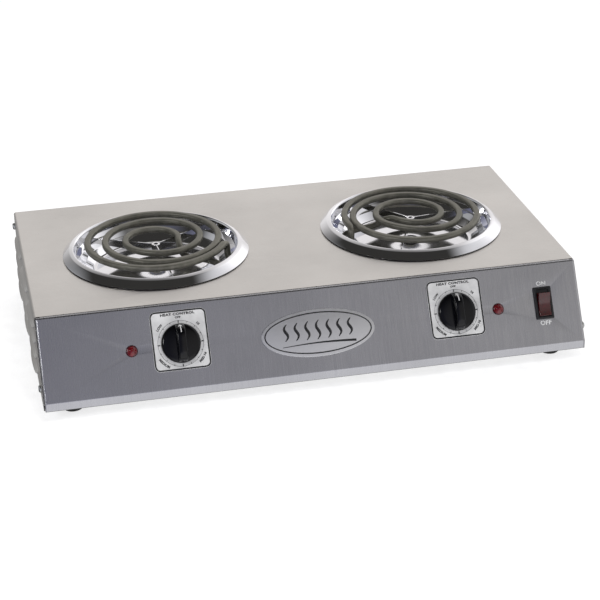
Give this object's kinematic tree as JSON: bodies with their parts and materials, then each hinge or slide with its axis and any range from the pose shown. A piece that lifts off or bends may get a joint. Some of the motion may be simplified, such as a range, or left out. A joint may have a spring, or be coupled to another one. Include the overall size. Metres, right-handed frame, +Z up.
{
  "type": "two-burner electric hot plate",
  "caption": "Countertop electric hot plate: brushed steel body with a sloping control panel, spiral elements in chromed drip pans, dials, pilot lamps and a rocker switch.",
  "frame": {"origin": "middle of the footprint box, on the plane the feet stand on", "axes": "+X to the right seen from the front, +Y to the rear, +Z up; the control panel faces -Y"},
  "size_m": [0.5688, 0.333, 0.1094],
  "materials": {
    "stainless": "brushed",
    "panel_steel": "brushed",
    "zinc_steel": "satin",
    "chrome": "polished",
    "element_sheath": "satin",
    "ceramic": "matte",
    "rubber": "matte",
    "gloss_black": "gloss",
    "matt_black": "matte",
    "phenolic": "matte",
    "white_enamel": "gloss",
    "red_lens": "gloss",
    "dark_red": "gloss"
  },
  "bodies": {
    "root": {"top_cover": "stainless", "front_panel": "panel_steel", "rear_panel": "stainless", "base_pan": "zinc_steel", "heat_baffle": "zinc_steel", "foot_front_left": "rubber", "foot_screw_front_left": "zinc_steel", "foot_front_right": "rubber", "foot_screw_front_right": "zinc_steel", "foot_rear_left": "rubber", "foot_screw_rear_left": "zinc_steel", "foot_rear_right": "rubber", "foot_screw_rear_right": "zinc_steel", "side_screw_front_left": "zinc_steel", "side_screw_front_right": "zinc_steel", "side_screw_rear_left": "zinc_steel", "side_screw_rear_right": "zinc_steel", "cord_inlet_bushing": "matt_black", "cord_inlet_locknut": "zinc_steel", "earth_screw": "zinc_steel", "drip_pan_left": "chrome", "hinge_bracket_left": "zinc_steel", "terminal_block_left": "ceramic", "dial_plate_left": "white_enamel", "switch_body_left": "phenolic", "switch_nut_left": "zinc_steel", "pilot_lens_left": "red_lens", "pilot_body_left": "matt_black", "pilot_clip_left": "zinc_steel", "drip_pan_right": "chrome", "hinge_bracket_right": "zinc_steel", "terminal_block_right": "ceramic", "dial_plate_right": "white_enamel", "switch_body_right": "phenolic", "switch_nut_right": "zinc_steel", "pilot_lens_right": "red_lens", "pilot_body_right": "matt_black", "pilot_clip_right": "zinc_steel", "power_switch_housing": "matt_black", "front_badge": "white_enamel"},
    "coil_left": {"coil_element_left": "element_sheath", "coil_support_left": "stainless", "coil_clamp_left": "zinc_steel"},
    "coil_right": {"coil_element_right": "element_sheath", "coil_support_right": "stainless", "coil_clamp_right": "zinc_steel"},
    "knob_left": {"knob_left": "gloss_black", "switch_shaft_left": "zinc_steel"},
    "knob_right": {"knob_right": "gloss_black", "switch_shaft_right": "zinc_steel"},
    "rocker": {"power_rocker": "dark_red"}
  },
  "joints": [
    {"name": "coil_left_tilt", "type": "hinge", "parent": "root", "child": "coil_left", "pos_m": [-0.05767, -0.03205, 0.085], "axis": [0.4462, 0.8949, 0], "range_deg": [0, 25]},
    {"name": "coil_right_tilt", "type": "hinge", "parent": "root", "child": "coil_right", "pos_m": [0.04879, -0.00301, 0.085], "axis": [0.1305, -0.9914, 0], "range_deg": [0, 25]},
    {"name": "knob_left_turn", "type": "hinge", "parent": "root", "child": "knob_left", "pos_m": [-0.1395, -0.1438, 0.05953], "axis": [0, -0.8616, 0.5075], "continuous": true},
    {"name": "knob_right_turn", "type": "hinge", "parent": "root", "child": "knob_right", "pos_m": [0.1455, -0.1438, 0.05953], "axis": [0, -0.8616, 0.5075], "continuous": true},
    {"name": "power_rocker_tilt", "type": "hinge", "parent": "root", "child": "rocker", "pos_m": [0.2395, -0.14269, 0.05749], "axis": [-1, 0, 0], "range_deg": [0, 24]}
  ]
}
